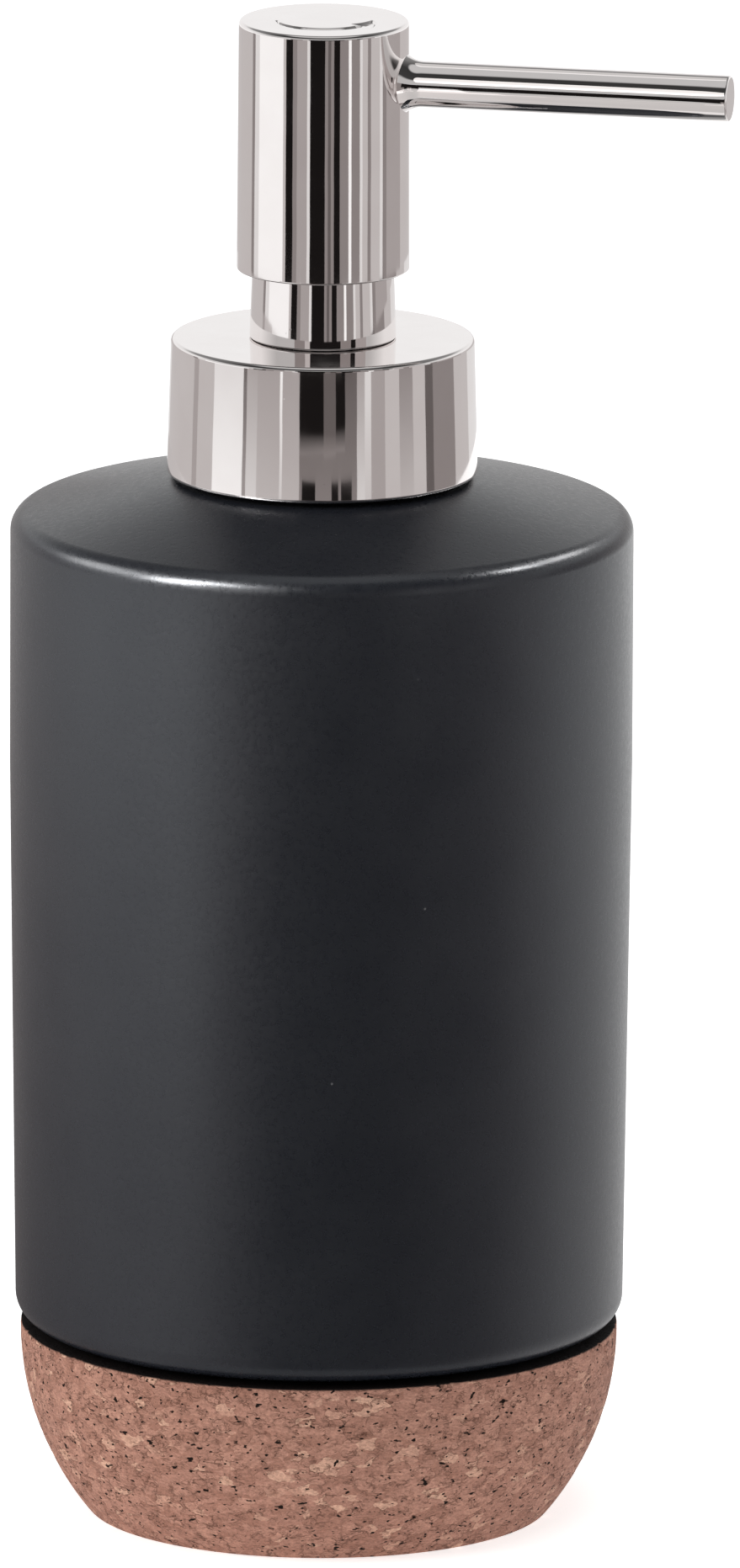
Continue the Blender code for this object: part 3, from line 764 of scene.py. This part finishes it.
def ring_azimuth(mirrored, wall_radius):
    """Where a ray that a round wall sends off towards this azimuth meets the ring."""
    offset = wall_radius / CARD_DISTANCE * math.sin(math.radians(mirrored / 2))
    return mirrored - math.degrees(math.asin(offset))


def card(sheets, span, wall_radius, heights, levels, distance=CARD_DISTANCE):
    """Add one curved sheet to the ring. levels are those of its corners, round from the bottom left."""
    start, end = (ring_azimuth(azimuth, wall_radius) for azimuth in span)
    bottom, top = heights
    strips = max(1, round((end - start) / 4))
    low_left, low_right, high_right, high_left = levels
    for strip in range(strips):
        ends = (strip / strips, (strip + 1) / strips)
        left, right = (facing(start + (end - start) * share) * distance for share in ends)
        low = [low_left + (low_right - low_left) * share for share in ends]
        high = [high_left + (high_right - high_left) * share for share in ends]
        sheets.append((
            [(*left.xy, bottom), (*right.xy, bottom), (*right.xy, top), (*left.xy, top)],
            [card_glow(level) for level in (*low, high[1], high[0])],
        ))


def row_glow(row, azimuth):
    """Brightness of the bottle's cards at one of their rows' edges."""
    left, right = row[1:]
    rightness = min(1.0, max(0.0, (azimuth + 20) / 50))
    return blended(BOTTLE_CARDS, azimuth) * (left + (right - left) * rightness)


def bottle_cards(sheets):
    step = 5
    for start in range(-180, 180, step):
        ends = (start, start + step)
        for lower, upper in zip(BOTTLE_ROWS, BOTTLE_ROWS[1:]):
            low = [row_glow(lower, azimuth) for azimuth in ends]
            high = [row_glow(upper, azimuth) for azimuth in ends]
            card(sheets, ends, BOTTLE_RADIUS, (lower[0], upper[0]), (*low, high[1], high[0]))


def make_cards():
    sheets = []
    bottle_cards(sheets)
    bands = ((COLLAR_BAND, COLLAR_CARDS), (HEAD_BAND, HEAD_CARDS), (PLATE_BAND, PLATE_CARDS))
    for (bottom, top, radius), cards in bands:
        for start, end, *tones in cards:
            low, high = tones[0], tones[-1]
            card(sheets, (start, end), radius, (bottom, top), (low, low, high, high))
    nearer = CARD_DISTANCE - 0.001
    for start, end, bottom, top, low, high in BLOCKS:
        card(sheets, (start, end), COLLAR_BAND[2], (bottom, top), (low, low, high, high), nearer)
    points = [point for corners, _ in sheets for point in corners]
    faces = [range(4 * index, 4 * index + 4) for index in range(len(sheets))]
    cards = write_mesh("studio_cards", points, faces)
    glow = cards.data.color_attributes.new("glow", "FLOAT_COLOR", "CORNER")
    colours = [colour for _, corners in sheets for colour in corners]
    for value, colour in zip(glow.data, colours):
        value.color = colour
    cards.data.materials.append(emission_material("studio_card_light"))
    hide_from(cards, camera=True, diffuse=True, shadow=True, transmission=True)


def hide_from(obj, camera=False, diffuse=False, glossy=False, transmission=False, shadow=False):
    obj.visible_camera = not camera
    obj.visible_diffuse = not diffuse
    obj.visible_glossy = not glossy
    obj.visible_transmission = not transmission
    obj.visible_shadow = not shadow


def make_floor():
    half = 20.0
    corners = [(-half, -half, 0), (half, -half, 0), (half, half, 0), (-half, half, 0)]
    floor = write_mesh("floor", corners, [(0, 1, 2, 3)])
    floor.location.z = -0.0001
    material, tree, shader, place = new_material("floor_paper", grey(0.88), 0.9)
    shader.inputs["Specular IOR Level"].default_value = 0.1
    shader.inputs["Emission Color"].default_value = (1, 1, 1, 1)
    shader.inputs["Emission Strength"].default_value = 0.66
    tone = noise_of(tree, place, 3, 2)
    tree.links.new(ramp_of(tree, tone, [(0.3, grey(0.87)), (0.7, grey(0.89))]), shader.inputs["Base Color"])
    floor.data.materials.append(material)
    hide_from(floor, glossy=True)


def make_world():
    """A bright horizon, a belt above it that is dimmer in front of the object, and a softly lit top."""
    world = bpy.data.worlds.new("studio")
    bpy.context.scene.world = world
    world.use_nodes = True
    tree = world.node_tree
    direction = add(tree, "ShaderNodeTexCoord").outputs["Generated"]
    height = add(tree, "ShaderNodeSeparateXYZ", {0: direction}).outputs["Z"]
    share = range_of(tree, height, -1.0, 1.0, 0.0, 1.0)
    below = [(0.00, 0.25), (0.12, 0.45), (0.28, 1.05), (0.485, 1.05)]
    before = [(0.50, 0.55), (0.70, 0.55), (0.75, 0.05), (0.94, 0.04), (0.965, 0.60)]
    behind = [(0.50, 0.95), (0.63, 0.95), (0.70, 0.85), (0.77, 0.28), (0.94, 0.14), (0.965, 0.60)]
    near, far = (
        ramp_of(tree, share, [(position, grey(level)) for position, level in below + above])
        for above in (before, behind)
    )
    across = add(tree, "ShaderNodeVectorMath", {0: direction, 1: facing(180)}, operation="DOT_PRODUCT")
    rear = range_of(tree, across.outputs["Value"], -0.2, 0.4, 0.0, 1.0)
    tree.links.new(mixed(tree, rear, near, far), tree.nodes["Background"].inputs["Color"])


def make_light(name, aim, azimuth, elevation, distance, size, power, colour=(1, 1, 1)):
    """An area light turned to a point, which neither the camera nor a reflection shows."""
    lamp = bpy.data.lights.new(name, "AREA")
    lamp.shape = "ELLIPSE"
    lamp.size, lamp.size_y = size
    lamp.energy = power
    lamp.color = colour
    obj = bpy.data.objects.new(name, lamp)
    bpy.context.scene.collection.objects.link(obj)
    obj.location = aim + facing(azimuth, elevation) * distance
    obj.rotation_euler = (aim - obj.location).to_track_quat("-Z", "Y").to_euler()
    hide_from(obj, camera=True, glossy=True)
    return obj


def make_highlight(name, piece, aim, azimuth, elevation, distance, size, power):
    """A light that shows only as a reflection, and only on one piece."""
    obj = make_light(name, aim, azimuth, elevation, distance, size, power, (1.0, 0.985, 0.975))
    hide_from(obj, camera=True, diffuse=True)
    only = bpy.data.collections.new(name + "_receivers")
    only.objects.link(piece)
    obj.light_linking.receiver_collection = only


def make_lights(bottle, spout):
    middle = Vector((0, 0, 0.110))
    tube = Vector((0.030, 0, 0.168))
    make_highlight("shoulder_softbox", bottle, middle, -48, 26, 0.42, (0.23, 0.20), 4.8)
    make_highlight("shoulder_tail", bottle, middle, -92, 27, 0.42, (0.24, 0.18), 0.70)
    make_highlight("shoulder_rim", bottle, middle, 98, 45, 0.42, (0.08, 0.045), 0.55)
    make_highlight("shoulder_rim_tail", bottle, middle, 124, 38, 0.42, (0.14, 0.08), 0.35)
    make_highlight("spout_sky", spout, tube, -169, 58, 0.42, (0.22, 0.20), 0.055)
    make_highlight("spout_softbox", spout, tube, -25, 30, 0.42, (0.20, 0.18), 0.090)
    make_highlight("spout_table", spout, tube, -27, -45, 0.05, (0.10, 0.075), 0.011)
    make_light("left_fill", middle, -75, 20, 1.2, (0.8, 0.8), 8, (1.0, 0.97, 0.95))
    make_light("right_fill", middle, 80, 20, 1.2, (0.8, 0.8), 2)
    make_light("top_fill", middle, 0, 80, 1.4, (1.2, 1.2), 7)


def make_camera():
    camera = bpy.data.cameras.new("camera")
    camera.lens = CAMERA_LENS
    camera.clip_end = 100
    obj = bpy.data.objects.new("camera", camera)
    bpy.context.scene.collection.objects.link(obj)
    back = facing(0, CAMERA_ELEVATION)
    side = facing(90)
    aim = side * AIM_RIGHT + Vector((0, 0, AIM_HEIGHT))
    obj.location = aim + back * CAMERA_DISTANCE
    turn = (-back).to_track_quat("-Z", "Y").to_matrix()
    roll = Matrix.Rotation(math.radians(CAMERA_ROLL), 3, "Z")
    obj.rotation_euler = (turn @ roll).to_euler()
    bpy.context.scene.camera = obj


dress_cad_nodes()
make_cork()
bottle = make_stoneware()
make_neck()
make_collar()
make_chimney()
make_head()
spout = make_spout()
make_spring()
make_floor()
make_cards()
make_world()
make_lights(bottle, spout)
make_camera()
bpy.context.scene.view_settings.view_transform = "Standard"
